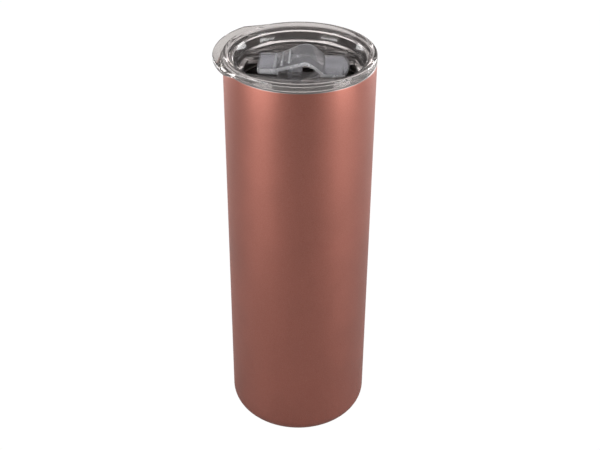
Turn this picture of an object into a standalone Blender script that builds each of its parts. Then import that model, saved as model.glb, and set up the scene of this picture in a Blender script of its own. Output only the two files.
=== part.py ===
"""Insulated slide-lid tumbler: a double-walled steel beaker and its clear push-in lid.

Metres, +Z up. The origin is on the tumbler's axis, in the plane that it stands on. The lid's
closure slides along X, and its lifting tab stands out near -X. The lid's pieces are measured
from the rim plane, and hang on an empty there.
"""
import math

import bmesh
import bpy

MM = 0.001

# ---------------------------------------------------------------- driving sizes
# tumbler
BODY_HEIGHT = 206.5 * MM
BODY_RADIUS = 36.5 * MM
SHELL_WALL = 0.5 * MM
SHELL_CORNER = 8.2 * MM
RIM_ROUND = 0.8 * MM
LINER_RADIUS = 32.9 * MM
LINER_WALL = 0.4 * MM
LINER_FLOOR = 9.4 * MM
LINER_CORNER = 6.0 * MM
LINER_BASE_HEIGHT = 7.0 * MM
RIM_SEAM_OUTSET = 1.3 * MM
BASE_RECESS_RADIUS = 27.0 * MM
BASE_RECESS_HEM = 2.8 * MM
OUTER_BASE_DEPTH = 4.6 * MM
OUTER_BASE_RIM_LIFT = 1.2 * MM
COVER_THICKNESS = 0.6 * MM
COVER_RIM_HEIGHT = 2.4 * MM
PORT_RADIUS = 1.0 * MM
PORT_DIMPLE_RADIUS = 4.0 * MM
PORT_DIMPLE_DEPTH = 1.0 * MM
SEAL_BEAD_HEIGHT = 0.9 * MM
SEAL_BEAD_SHOULDER = 0.8
FOIL_THICKNESS = 0.2 * MM
FOIL_END_MARGIN = 12.0 * MM
GETTER_RADIUS = 3.0 * MM
GETTER_HEIGHT = 1.4 * MM
GETTER_OFFSET = 15.0 * MM
CLIP_WALL = 0.4 * MM

# lid
FLANGE_HEIGHT = 3.7 * MM
FLANGE_CREST_INSET = 1.1 * MM
FLANGE_EDGE_ROUND = 0.9 * MM
FLANGE_GROOVE_WIDTH = 1.3 * MM
FLANGE_GROOVE_DEPTH = 2.0 * MM
TAB_REACH = 4.8 * MM
TAB_DIRECTION = math.radians(175.0)
TAB_HALF_ANGLE = math.radians(40.0)
TAB_THICKNESS = 2.2 * MM
TAB_DROP = 0.35 * MM
WELL_EDGE_INSET = 0.2 * MM
WELL_EDGE_DROP = 2.4 * MM
WELL_WALL = 1.9 * MM
WELL_EDGE_CHAMFER = 0.6 * MM
WELL_FLOOR_DROP = 2.0 * MM
LID_FLOOR_THICKNESS = 2.0 * MM
PLUG_CLEARANCE = 0.7 * MM
PLUG_WALL = 2.2 * MM
PLUG_DEPTH = 14.0 * MM
PLUG_CHAMFER = 0.6 * MM
GROOVE_TOP = 7.0 * MM
GROOVE_HEIGHT = 4.0 * MM
GROOVE_DEPTH = 1.3 * MM
CHANNEL_DEPTH = 2.6 * MM
CHANNEL_HALF_WIDTH = 15.6 * MM
CHANNEL_SIDE_RADIUS = 90.0 * MM
CHANNEL_END_MARGIN = 1.3 * MM
CHANNEL_FLOOR_THICKNESS = 1.8 * MM
CHANNEL_CORNER = 2.5 * MM
HOLE_MARGIN = 3.4 * MM
DRINK_HOLE_LENGTH = 8.1 * MM
DRINK_HOLE_HALF_WIDTH = 8.8 * MM
VENT_HOLE_LENGTH = 7.4 * MM
VENT_HOLE_HALF_WIDTH = 7.8 * MM

# sliding closure
SLIDE_TO_VENT = 8.0 * MM
SLIDE_TO_DRINK = 5.0 * MM
VENT_PLATE_THICKNESS = 2.7 * MM
DRINK_PLATE_THICKNESS = 1.4 * MM
PLATE_END_GAP = 0.5 * MM
PLATE_VENT_HALF_WIDTH = 9.2 * MM
PLATE_SIDE_GAP = 0.8 * MM
PLATE_END_BULGE = 2.6 * MM
PLATE_CORNER = 2.0 * MM
ARCH_START = -9.8 * MM
ARCH_END = 10.2 * MM
ARCH_PEAK_X = 2.4 * MM
ARCH_PEAK = 3.2 * MM
ARCH_SHEET = 1.7 * MM
ARCH_RISE_STRAIGHT = 0.6
ARCH_FALL_POWER = 1.15
RIDGE_RADIUS = 0.55 * MM
RIDGE_PITCH = 3.4 * MM
RIDGE_FIRST_X = -11.6 * MM
RIDGE_COUNT = 3
RIDGE_HALF_LENGTH = 7.0 * MM
PAD_THICKNESS = 0.8 * MM
PAD_MARGIN = 0.9 * MM
LEG_X = (-5.5 * MM, 1.2 * MM)
LEG_THICKNESS = 1.3 * MM
SLOT_HALF_WIDTH = 4.2 * MM
HOOK_REACH = 1.3 * MM
HOOK_HEIGHT = 1.2 * MM

# fits and fineness
FIT = 0.3 * MM
GASKET_LIP = 1.0 * MM
ROUND_STEPS = 60
INNER_STEPS = 48
SMALL_STEPS = 24
WELD_DISTANCE = 1e-7
CORNER_ANGLE = math.radians(40.0)

# heights and fits that follow from them
RIM_Z = BODY_HEIGHT
FLANGE_BOTTOM = FIT
FLANGE_CREST = FLANGE_BOTTOM + FLANGE_HEIGHT
WELL_FLOOR = -WELL_FLOOR_DROP
CHANNEL_FLOOR = WELL_FLOOR - CHANNEL_DEPTH
CHANNEL_UNDERSIDE = CHANNEL_FLOOR - CHANNEL_FLOOR_THICKNESS
PLUG_RADIUS = LINER_RADIUS - PLUG_CLEARANCE
PLUG_INSIDE = PLUG_RADIUS - PLUG_WALL
WELL_RADIUS = PLUG_RADIUS - WELL_EDGE_INSET
WELL_FLOOR_RADIUS = PLUG_RADIUS - WELL_WALL
CHANNEL_END_RADIUS = WELL_FLOOR_RADIUS - CHANNEL_END_MARGIN
HOLE_FAR = PLUG_INSIDE - HOLE_MARGIN
PAD_BOTTOM = CHANNEL_FLOOR + FIT
PLATE_BOTTOM = PAD_BOTTOM + FIT
VENT_PLATE_TOP = PLATE_BOTTOM + VENT_PLATE_THICKNESS
DRINK_PLATE_TOP = PLATE_BOTTOM + DRINK_PLATE_THICKNESS
PAD_TOP = PAD_BOTTOM + PAD_THICKNESS
POCKET_TOP = PAD_TOP + FIT

FINISHES = {
    "copper_coat": ((0.30, 0.115, 0.085), 0.42, 0.75),
    "steel": ((0.62, 0.61, 0.59), 0.28, 1.0),
    "copper_foil": ((0.72, 0.36, 0.22), 0.25, 1.0),
    "solder": ((0.45, 0.45, 0.47), 0.40, 1.0),
    "getter": ((0.20, 0.20, 0.21), 0.80, 0.4),
    "smoke_clear": ((0.55, 0.55, 0.53), 0.06, 0.0),
    "slider_clear": ((0.70, 0.71, 0.74), 0.12, 0.0),
    "silicone": ((0.66, 0.66, 0.68), 0.55, 0.0),
}


# ---------------------------------------------------------------- fits of the closure
def channel_half_width(x):
    """Half the channel's clear width at x: its side arc, or its end circle where that is nearer."""
    side = math.sqrt(CHANNEL_SIDE_RADIUS ** 2 - x ** 2) - CHANNEL_SIDE_RADIUS + CHANNEL_HALF_WIDTH
    return min(side, math.sqrt(CHANNEL_END_RADIUS ** 2 - x ** 2))


PLATE_DRINK_END = CHANNEL_END_RADIUS - SLIDE_TO_DRINK - PLATE_END_GAP
PLATE_DRINK_HALF_WIDTH = channel_half_width(
    PLATE_DRINK_END - PLATE_END_BULGE + SLIDE_TO_DRINK) - PLATE_SIDE_GAP
VENT_END_REACH = math.sqrt(
    (CHANNEL_END_RADIUS - FIT) ** 2 - (PLATE_VENT_HALF_WIDTH - PLATE_CORNER) ** 2)
PLATE_VENT_END = SLIDE_TO_VENT - VENT_END_REACH


# ---------------------------------------------------------------- helpers
def finish(name):
    """The named material, made once."""
    material = bpy.data.materials.get(name)
    if material is None:
        color, roughness, metallic = FINISHES[name]
        material = bpy.data.materials.new(name)
        material.use_nodes = True
        shader = material.node_tree.nodes["Principled BSDF"]
        shader.inputs["Base Color"].default_value = (*color, 1.0)
        shader.inputs["Roughness"].default_value = roughness
        shader.inputs["Metallic"].default_value = metallic
    return material


def arc(center, radius, start, end, steps):
    """Points on an arc, angles in degrees, both ends included."""
    turns = [math.radians(start + (end - start) * i / steps) for i in range(steps + 1)]
    return [(center[0] + radius * math.cos(t), center[1] + radius * math.sin(t)) for t in turns]


def add_object(name, mesh_builder, material, parent=None):
    """Turn a bmesh into a named object under its parent."""
    bmesh.ops.remove_doubles(mesh_builder, verts=mesh_builder.verts, dist=WELD_DISTANCE)
    bmesh.ops.recalc_face_normals(mesh_builder, faces=mesh_builder.faces)
    mesh = bpy.data.meshes.new(name)
    mesh_builder.to_mesh(mesh)
    mesh_builder.free()
    piece = bpy.data.objects.new(name, mesh)
    bpy.context.collection.objects.link(piece)
    mesh.materials.append(finish(material))
    piece.parent = parent
    return piece


def turned(name, profile, material, parent=None, steps=ROUND_STEPS, center=(0.0, 0.0)):
    """A piece turned about the vertical through center, from a closed (radius, height) profile."""
    builder = bmesh.new()
    ring = [builder.verts.new((radius, 0.0, height)) for radius, height in profile]
    closed = profile[0][0] > 0.0 or profile[-1][0] > 0.0
    pairs = zip(ring, ring[1:] + ring[:1]) if closed else zip(ring, ring[1:])
    edges = [builder.edges.new(pair) for pair in pairs]
    bmesh.ops.spin(builder, geom=ring + edges, cent=(0, 0, 0), axis=(0, 0, 1),
                   angle=math.tau, steps=steps, use_merge=True)
    bmesh.ops.remove_doubles(builder, verts=builder.verts, dist=WELD_DISTANCE)
    bmesh.ops.dissolve_degenerate(builder, edges=builder.edges, dist=WELD_DISTANCE)
    bmesh.ops.translate(builder, verts=builder.verts, vec=(*center, 0.0))
    piece = add_object(name, builder, material, parent)
    smooth(piece)
    return piece


def prism(name, outline, low, high, material, parent=None, axis="Z", corner=0.0):
    """A closed outline extruded between two levels of one axis, its sharp corners rounded."""
    builder = bmesh.new()
    if axis == "Z":
        corners = [(a, b, low) for a, b in outline]
        rise = (0.0, 0.0, high - low)
    else:
        corners = [(a, low, b) for a, b in outline]
        rise = (0.0, high - low, 0.0)
    face = builder.faces.new([builder.verts.new(corner) for corner in corners])
    grown = bmesh.ops.extrude_face_region(builder, geom=[face])["geom"]
    moved = [part for part in grown if isinstance(part, bmesh.types.BMVert)]
    bmesh.ops.translate(builder, verts=moved, vec=rise)
    if corner > 0.0:
        sharp = [edge for edge in builder.edges if is_upright_corner(edge)]
        bmesh.ops.bevel(builder, geom=sharp, offset=corner, segments=3, profile=0.5,
                        affect="EDGES")
    return add_object(name, builder, material, parent)


def is_upright_corner(edge):
    """Whether an edge stands upright between two faces that turn sharply."""
    start, end = (vert.co for vert in edge.verts)
    upright = abs(end.z - start.z) > max(abs(end.x - start.x), abs(end.y - start.y))
    return upright and edge.calc_face_angle(0.0) > CORNER_ANGLE


def combine(piece, tool, operation):
    """Apply one exact Boolean to a piece, and remove its tool."""
    modifier = piece.modifiers.new(tool.name, "BOOLEAN")
    modifier.operation = operation
    modifier.solver = "EXACT"
    modifier.object = tool
    bpy.context.view_layer.update()
    graph = bpy.context.evaluated_depsgraph_get()
    mesh = bpy.data.meshes.new_from_object(piece.evaluated_get(graph))
    piece.modifiers.clear()
    piece.data = mesh
    bpy.data.objects.remove(tool)


def smooth(piece):
    """Smooth shading on the round faces, with the crisp edges kept."""
    piece.data.shade_smooth()
    piece.data.set_sharp_from_angle(angle=math.radians(30.0))


def empty(name, height, parent=None):
    """An empty on the axis, at a joint."""
    marker = bpy.data.objects.new(name, None)
    marker.location = (0.0, 0.0, height)
    marker.parent = parent
    bpy.context.collection.objects.link(marker)
    return marker


# ---------------------------------------------------------------- tumbler
def make_outer_shell():
    """Coated outer tube: turned in at the rim, rounded in at the foot and hemmed there."""
    seam = LINER_RADIUS + RIM_SEAM_OUTSET + FIT
    inner = BODY_RADIUS - SHELL_WALL
    hem = BASE_RECESS_RADIUS + SHELL_WALL
    profile = [(seam, BODY_HEIGHT)]
    profile += arc((BODY_RADIUS - RIM_ROUND, BODY_HEIGHT - RIM_ROUND), RIM_ROUND, 90, 0, 3)
    profile += arc((BODY_RADIUS - SHELL_CORNER, SHELL_CORNER), SHELL_CORNER, 0, -90, 5)
    profile += [(BASE_RECESS_RADIUS, 0.0), (BASE_RECESS_RADIUS, BASE_RECESS_HEM)]
    profile += [(hem, BASE_RECESS_HEM), (hem, SHELL_WALL)]
    profile += arc((BODY_RADIUS - SHELL_CORNER, SHELL_CORNER),
                   SHELL_CORNER - SHELL_WALL, -90, 0, 4)
    profile += [(inner, BODY_HEIGHT - RIM_ROUND), (inner - FIT, BODY_HEIGHT - SHELL_WALL)]
    profile += [(seam, BODY_HEIGHT - SHELL_WALL)]
    return turned("outer_shell", profile, "copper_coat")


def make_outer_base():
    """Steel cup welded into the shell's foot, with the dimple that holds the vacuum port."""
    rim = BASE_RECESS_RADIUS - FIT
    top = OUTER_BASE_DEPTH + SHELL_WALL
    dimple_top = OUTER_BASE_DEPTH + PORT_DIMPLE_DEPTH
    profile = [(rim, OUTER_BASE_RIM_LIFT), (rim, top - SHELL_WALL), (rim - SHELL_WALL, top)]
    profile += [(PORT_DIMPLE_RADIUS + 2 * SHELL_WALL, top)]
    profile += [(PORT_DIMPLE_RADIUS, dimple_top + SHELL_WALL)]
    profile += [(PORT_RADIUS, dimple_top + SHELL_WALL), (PORT_RADIUS, dimple_top)]
    profile += [(PORT_DIMPLE_RADIUS - SHELL_WALL, dimple_top)]
    profile += [(PORT_DIMPLE_RADIUS + SHELL_WALL, OUTER_BASE_DEPTH)]
    profile += [(rim - SHELL_WALL, OUTER_BASE_DEPTH), (rim - SHELL_WALL, OUTER_BASE_RIM_LIFT)]
    return turned("outer_base", profile, "steel", steps=INNER_STEPS)


def make_vacuum_seal_bead():
    """The bead that closes the vacuum port, in its dimple under the outer base."""
    top = OUTER_BASE_DEPTH + PORT_DIMPLE_DEPTH - FIT
    radius = PORT_DIMPLE_RADIUS - SHELL_WALL - FIT
    low = top - SEAL_BEAD_HEIGHT
    shoulder = (radius * SEAL_BEAD_SHOULDER, top - SEAL_BEAD_HEIGHT / 2)
    profile = [(0.0, top), (radius, top), shoulder, (0.0, low)]
    return turned("vacuum_seal_bead", profile, "solder", steps=SMALL_STEPS)


def make_base_cover():
    """Flat cover pressed in under the foot. Its lower face is what the tumbler rests on."""
    radius = BASE_RECESS_RADIUS - FIT - SHELL_WALL - FIT
    chamfer = COVER_THICKNESS / 2
    inner = radius - COVER_THICKNESS
    profile = [(0.0, 0.0), (radius - chamfer, 0.0), (radius, chamfer), (radius, COVER_RIM_HEIGHT)]
    profile += [(inner, COVER_RIM_HEIGHT), (inner, COVER_THICKNESS), (0.0, COVER_THICKNESS)]
    return turned("base_cover", profile, "steel", steps=INNER_STEPS)


def make_inner_liner():
    """Bare steel inner tube, flared out at the rim to meet the shell."""
    outer = LINER_RADIUS + LINER_WALL
    seam = LINER_RADIUS + RIM_SEAM_OUTSET
    foot = LINER_FLOOR + LINER_BASE_HEIGHT + FIT
    flare = arc((LINER_RADIUS + RIM_ROUND, BODY_HEIGHT - RIM_ROUND), RIM_ROUND, 180, 90, 3)
    profile = [(LINER_RADIUS, foot), *flare, (seam, BODY_HEIGHT)]
    profile += [(seam, BODY_HEIGHT - LINER_WALL)]
    profile += arc((LINER_RADIUS + RIM_ROUND, BODY_HEIGHT - RIM_ROUND),
                   RIM_ROUND - LINER_WALL, 90, 180, 2)
    profile += [(outer, foot)]
    return turned("inner_liner", profile, "steel")


def make_liner_base():
    """Dished bottom of the inner cup, butted to the liner's foot."""
    outer = LINER_RADIUS + LINER_WALL
    top = LINER_FLOOR + LINER_BASE_HEIGHT
    bend = (LINER_RADIUS - LINER_CORNER, LINER_FLOOR + LINER_CORNER)
    profile = [(0.0, LINER_FLOOR), *arc(bend, LINER_CORNER, -90, 0, 4), (LINER_RADIUS, top)]
    profile += [(outer, top), *arc(bend, LINER_CORNER + LINER_WALL, 0, -90, 4)]
    profile += [(0.0, LINER_FLOOR - LINER_WALL)]
    return turned("liner_base", profile, "steel")


def make_foil_wrap():
    """Copper foil round the liner, inside the vacuum."""
    inner = LINER_RADIUS + LINER_WALL + FIT
    low = LINER_FLOOR + FOIL_END_MARGIN
    high = BODY_HEIGHT - FOIL_END_MARGIN
    outer = inner + FOIL_THICKNESS
    profile = [(inner, low), (inner, high), (outer, high), (outer, low)]
    return turned("foil_wrap", profile, "copper_foil", steps=INNER_STEPS)


def make_getter():
    """The getter pill and the cup-shaped clip that holds it on the outer base."""
    seat = OUTER_BASE_DEPTH + SHELL_WALL + FIT
    floor = seat + CLIP_WALL
    inside = GETTER_RADIUS + FIT
    outside = inside + CLIP_WALL
    height = floor + GETTER_HEIGHT
    cup = [(0.0, seat), (outside, seat), (outside, height), (inside, height)]
    cup += [(inside, floor), (0.0, floor)]
    place = (0.0, GETTER_OFFSET)
    turned("getter_clip", cup, "steel", steps=SMALL_STEPS, center=place)
    pill_low = floor + FIT
    pill = [(0.0, pill_low), (GETTER_RADIUS, pill_low), (GETTER_RADIUS, pill_low + GETTER_HEIGHT)]
    pill += [(0.0, pill_low + GETTER_HEIGHT)]
    turned("getter", pill, "getter", steps=SMALL_STEPS, center=place)


# ---------------------------------------------------------------- lid
def boat_outline(inset):
    """The closure channel seen from above: two long side arcs, cut off by the end circle."""
    side = CHANNEL_SIDE_RADIUS - inset
    end = CHANNEL_END_RADIUS - inset
    offset = CHANNEL_SIDE_RADIUS - CHANNEL_HALF_WIDTH
    corner_y = (side ** 2 - end ** 2 - offset ** 2) / (2 * offset)
    corner_x = math.sqrt(end ** 2 - corner_y ** 2)
    sweep = math.degrees(math.asin(corner_x / side))
    end_angle = math.degrees(math.asin(corner_y / end))
    points = arc((0.0, 0.0), end, -end_angle, end_angle, 6)
    points += arc((0.0, -offset), side, 90 - sweep, 90 + sweep, 8)
    points += arc((0.0, 0.0), end, 180 - end_angle, 180 + end_angle, 6)
    points += arc((0.0, offset), side, 270 - sweep, 270 + sweep, 8)
    return remove_repeats(points)


def remove_repeats(points):
    """The outline without the points that two of its stretches share."""
    kept = []
    for point in points:
        if all(math.dist(point, other) > FIT / 10 for other in kept):
            kept.append(point)
    return kept


def hole_outline(direction, length, half_width):
    """A D-shaped opening on the +X or -X side, whose far end is an arc about the lid's axis."""
    reach = math.degrees(math.asin(half_width / HOLE_FAR))
    toward = 0 if direction > 0 else 180
    points = arc((0.0, 0.0), HOLE_FAR, toward - reach, toward + reach, 6)
    near = direction * (HOLE_FAR - length)
    side = direction * half_width
    return points + [(near, side), (near, -side)]


def tab_outline():
    """The lifting tab: a wider arc about the axis, with sides tangent to the flange."""
    reach = BODY_RADIUS + TAB_REACH
    tangent = TAB_HALF_ANGLE + math.acos(BODY_RADIUS / reach)
    half = math.degrees(TAB_HALF_ANGLE)
    root = math.degrees(tangent)
    middle = math.degrees(TAB_DIRECTION)
    inner = BODY_RADIUS - FLANGE_CREST_INSET
    points = arc((0.0, 0.0), reach, middle - half, middle + half, 8)
    points += arc((0.0, 0.0), BODY_RADIUS, middle + root, middle + root, 1)[:1]
    points += arc((0.0, 0.0), inner, middle + root, middle - root, 12)
    points += arc((0.0, 0.0), BODY_RADIUS, middle - root, middle - root, 1)[:1]
    return points


def lid_profile():
    """Half section of the lid: flange, well, floor, and the plug with its gasket groove."""
    crest_radius = BODY_RADIUS - FLANGE_CREST_INSET
    well_edge = FLANGE_CREST - WELL_EDGE_DROP
    groove_floor = PLUG_RADIUS - GROOVE_DEPTH
    groove_low = -GROOVE_TOP - GROOVE_HEIGHT
    underside = WELL_FLOOR - LID_FLOOR_THICKNESS
    groove_out = crest_radius - FIT
    groove_in = groove_out - FLANGE_GROOVE_WIDTH
    groove_roof = FLANGE_BOTTOM + FLANGE_GROOVE_DEPTH
    edge_low = FLANGE_CREST - FLANGE_EDGE_ROUND
    profile = [(0.0, WELL_FLOOR), (WELL_FLOOR_RADIUS, WELL_FLOOR)]
    profile += [(WELL_FLOOR_RADIUS + FIT, WELL_FLOOR / 2)]
    profile += [(WELL_RADIUS - WELL_EDGE_CHAMFER, FLANGE_BOTTOM + FIT), (WELL_RADIUS, well_edge)]
    profile += [(WELL_RADIUS + WELL_EDGE_CHAMFER, well_edge + FIT)]
    profile += [(crest_radius - WELL_EDGE_CHAMFER, FLANGE_CREST - FIT / 2)]
    profile += [(crest_radius, FLANGE_CREST)]
    profile += arc((BODY_RADIUS - FLANGE_EDGE_ROUND, edge_low), FLANGE_EDGE_ROUND, 70, 0, 3)
    profile += [(BODY_RADIUS, FLANGE_BOTTOM + FIT), (BODY_RADIUS - FIT, FLANGE_BOTTOM)]
    profile += [(groove_out, FLANGE_BOTTOM), (groove_out, groove_roof)]
    profile += [(groove_in, groove_roof), (groove_in, FLANGE_BOTTOM)]
    profile += [(PLUG_RADIUS, FLANGE_BOTTOM), (PLUG_RADIUS, -GROOVE_TOP)]
    profile += [(groove_floor, -GROOVE_TOP), (groove_floor, groove_low), (PLUG_RADIUS, groove_low)]
    profile += [(PLUG_RADIUS, PLUG_CHAMFER - PLUG_DEPTH)]
    profile += [(PLUG_RADIUS - PLUG_CHAMFER, -PLUG_DEPTH)]
    profile += [(PLUG_INSIDE, -PLUG_DEPTH), (PLUG_INSIDE, underside), (0.0, underside)]
    return profile


def make_lid_body(lid):
    """The clear lid: turned body, lifting tab, closure channel, openings and guide slot."""
    body = turned("lid_body", lid_profile(), "smoke_clear", lid)
    tab_top = FLANGE_CREST - TAB_DROP
    tab = prism("tab", tab_outline(), tab_top - TAB_THICKNESS, tab_top, "smoke_clear", lid)
    combine(body, tab, "UNION")
    wall = CHANNEL_FLOOR_THICKNESS
    overlap = LID_FLOOR_THICKNESS / 2
    boss = prism("boss", boat_outline(-wall), CHANNEL_UNDERSIDE,
                 WELL_FLOOR - overlap, "smoke_clear", lid, corner=CHANNEL_CORNER + wall)
    combine(body, boss, "UNION")
    above = FLANGE_CREST
    channel = prism("channel", boat_outline(0.0), CHANNEL_FLOOR, above, "smoke_clear", lid,
                    corner=CHANNEL_CORNER)
    combine(body, channel, "DIFFERENCE")
    below = CHANNEL_UNDERSIDE - overlap
    slot = [(LEG_X[0] - SLIDE_TO_VENT - FIT, -SLOT_HALF_WIDTH),
            (LEG_X[1] + SLIDE_TO_DRINK + FIT, -SLOT_HALF_WIDTH),
            (LEG_X[1] + SLIDE_TO_DRINK + FIT, SLOT_HALF_WIDTH),
            (LEG_X[0] - SLIDE_TO_VENT - FIT, SLOT_HALF_WIDTH)]
    cuts = {"drink_hole": hole_outline(1, DRINK_HOLE_LENGTH, DRINK_HOLE_HALF_WIDTH),
            "vent_hole": hole_outline(-1, VENT_HOLE_LENGTH, VENT_HOLE_HALF_WIDTH),
            "guide_slot": slot}
    for name, outline in cuts.items():
        combine(body, prism(name, outline, below, above, "smoke_clear", lid), "DIFFERENCE")
    smooth(body)
    return body


def make_lid_gasket(lid):
    """Silicone ring in the plug's groove, with two lips that reach for the liner."""
    inner = PLUG_RADIUS - GROOVE_DEPTH + FIT
    lip = LINER_RADIUS - FIT
    outer = PLUG_RADIUS - FIT
    high = -GROOVE_TOP - FIT
    low = high - GROOVE_HEIGHT + 2 * FIT
    half_lip = GASKET_LIP / 2
    profile = [(inner, low), (inner, high), (lip, high), (lip, high - half_lip)]
    profile += [(outer, high - GASKET_LIP), (outer, low + GASKET_LIP)]
    profile += [(lip, low + half_lip), (lip, low)]
    return turned("lid_gasket", profile, "silicone", lid)


# ---------------------------------------------------------------- closure
def plate_half_width(x):
    """Half the closure's width along it: narrow at the vent end, easing to the wide end."""
    share = min(max((x - ARCH_START) / -ARCH_START, 0.0), 1.0)
    ease = share * share * (3.0 - 2.0 * share)
    return PLATE_VENT_HALF_WIDTH + (PLATE_DRINK_HALF_WIDTH - PLATE_VENT_HALF_WIDTH) * ease


def bulge_arc(margin, steps=8):
    """The closure's gently bulging drink end, set in by a margin."""
    half = PLATE_DRINK_HALF_WIDTH
    radius = (PLATE_END_BULGE ** 2 + half ** 2) / (2 * PLATE_END_BULGE)
    sweep = math.degrees(math.asin((half - margin) / (radius - margin)))
    return arc((PLATE_DRINK_END - radius, 0.0), radius - margin, -sweep, sweep, steps)


def plate_outline():
    """The closure seen from above."""
    eased = [ARCH_START * step / 4 for step in range(5)]
    corner = (PLATE_VENT_END + PLATE_CORNER, PLATE_VENT_HALF_WIDTH - PLATE_CORNER)
    points = bulge_arc(0.0)
    points += [(x, plate_half_width(x)) for x in eased]
    points += arc(corner, PLATE_CORNER, 90, 180, 3)
    points += arc((corner[0], -corner[1]), PLATE_CORNER, 180, 270, 3)
    points += [(x, -plate_half_width(x)) for x in reversed(eased)]
    return points


def arch_top(x):
    """Height of the closure's upper side at x: an S-shaped rise and a straighter fall."""
    if x <= ARCH_PEAK_X:
        start = ARCH_START - ARCH_SHEET
        share = min(max((x - start) / (ARCH_PEAK_X - start), 0.0), 1.0)
        ease = share * share * (3.0 - 2.0 * share)
        curve = ARCH_RISE_STRAIGHT * share + (1.0 - ARCH_RISE_STRAIGHT) * ease
        return VENT_PLATE_TOP + (ARCH_PEAK - VENT_PLATE_TOP) * curve
    end = ARCH_END + ARCH_SHEET
    share = min(max((end - x) / (end - ARCH_PEAK_X), 0.0), 1.0)
    curve = math.sin(math.pi / 2 * share) ** ARCH_FALL_POWER
    return DRINK_PLATE_TOP + (ARCH_PEAK - DRINK_PLATE_TOP) * curve


def arch_underside(x):
    """Height of the arch's lower side at x, never below the plates' lower side."""
    return max(arch_top(x) - ARCH_SHEET, PLATE_BOTTOM + FIT)


def closure_profile():
    """The closure seen from the side: two end plates and the bent sheet between them."""
    steps = 14
    top_from = ARCH_END + ARCH_SHEET
    top_to = ARCH_START - ARCH_SHEET
    low_span = [ARCH_START + (ARCH_END - ARCH_START) * i / steps for i in range(steps + 1)]
    top_span = [top_from + (top_to - top_from) * i / steps for i in range(steps + 1)]
    points = [(PLATE_VENT_END - FIT, PLATE_BOTTOM), (ARCH_START, PLATE_BOTTOM)]
    points += [(x, arch_underside(x)) for x in low_span]
    points += [(ARCH_END + FIT, PLATE_BOTTOM), (PLATE_DRINK_END + FIT, PLATE_BOTTOM)]
    points += [(PLATE_DRINK_END + FIT, DRINK_PLATE_TOP)]
    points += [(x, arch_top(x)) for x in top_span]
    return points + [(PLATE_VENT_END - FIT, VENT_PLATE_TOP)]


def rounded_end_pad(clearance):
    """The drink-end pad: straight across at the arch, bulging like the plate at its free end."""
    margin = PAD_MARGIN - clearance
    width = PLATE_DRINK_HALF_WIDTH - margin
    start = ARCH_END + FIT + margin
    return bulge_arc(margin) + [(start, width), (start, -width)]


def square_end_pad(clearance):
    """The vent-end pad: a plain rectangle inside the square end plate."""
    far = PLATE_VENT_END + PAD_MARGIN - clearance
    near = ARCH_START - PAD_MARGIN + clearance
    half = PLATE_VENT_HALF_WIDTH - PAD_MARGIN + clearance
    return [(far, -half), (near, -half), (near, half), (far, half)]


def add_snap_legs(body, slider):
    """Two legs that pass down through the guide slot, with hooks under the channel floor."""
    outside = SLOT_HALF_WIDTH - FIT
    inside = outside - LEG_THICKNESS
    hook_top = CHANNEL_UNDERSIDE - FIT
    hook_low = hook_top - HOOK_HEIGHT
    near, far = LEG_X
    half_sheet = ARCH_SHEET / 2
    leg = [(near, hook_low), (far, hook_low), (far, arch_underside(far) + half_sheet)]
    leg += [(near, arch_underside(near) + half_sheet)]
    hook = [(near, hook_low), (far, hook_low), (far, hook_top), (near, hook_top)]
    for side in (-1, 1):
        spans = {"leg": (leg, inside, outside), "hook": (hook, inside, outside + HOOK_REACH)}
        for name, (outline, low, high) in spans.items():
            ends = sorted((side * low, side * high))
            tool = prism(name, outline, *ends, "slider_clear", slider, axis="Y")
            combine(body, tool, "UNION")


def add_thumb_ridges(body, slider):
    """Raised ridges across the arch's longer slope."""
    for index in range(RIDGE_COUNT):
        x = RIDGE_FIRST_X + RIDGE_PITCH * index
        outline = arc((x, arch_top(x)), RIDGE_RADIUS, 0, 315, 7)
        ridge = prism("ridge", outline, -RIDGE_HALF_LENGTH, RIDGE_HALF_LENGTH,
                      "slider_clear", slider, axis="Y")
        combine(body, ridge, "UNION")


def make_slider(slider):
    """The sliding closure and its two silicone seal pads."""
    body = prism("slider", plate_outline(), PLATE_BOTTOM - FIT, FLANGE_CREST, "slider_clear",
                 slider, corner=PLATE_CORNER)
    reach = PLATE_DRINK_HALF_WIDTH + FIT
    sheet = prism("sheet", closure_profile(), -reach, reach, "slider_clear", slider, axis="Y")
    combine(body, sheet, "INTERSECT")
    add_snap_legs(body, slider)
    add_thumb_ridges(body, slider)
    pads = {"drink_seal_pad": rounded_end_pad, "vent_seal_pad": square_end_pad}
    for name, outline in pads.items():
        pocket = prism("pocket", outline(FIT), PLATE_BOTTOM - FIT, POCKET_TOP, "slider_clear", slider)
        combine(body, pocket, "DIFFERENCE")
        prism(name, outline(0.0), PAD_BOTTOM, PAD_TOP, "silicone", slider)
    smooth(body)
    return body


# ---------------------------------------------------------------- assembly
def main():
    """Empty the scene and build every piece."""
    for leftover in list(bpy.data.objects):
        bpy.data.objects.remove(leftover)
    make_outer_shell()
    make_outer_base()
    make_vacuum_seal_bead()
    make_base_cover()
    make_inner_liner()
    make_liner_base()
    make_foil_wrap()
    make_getter()
    lid = empty("lid_axis", RIM_Z)
    make_lid_body(lid)
    make_lid_gasket(lid)
    make_slider(empty("slider_axis", 0.0, lid))


main()
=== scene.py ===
import logging
import math
from dataclasses import dataclass, field
from enum import Enum
from typing import Callable, Iterable, Optional, Sequence

import bpy
from mathutils import Matrix, Vector


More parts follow.
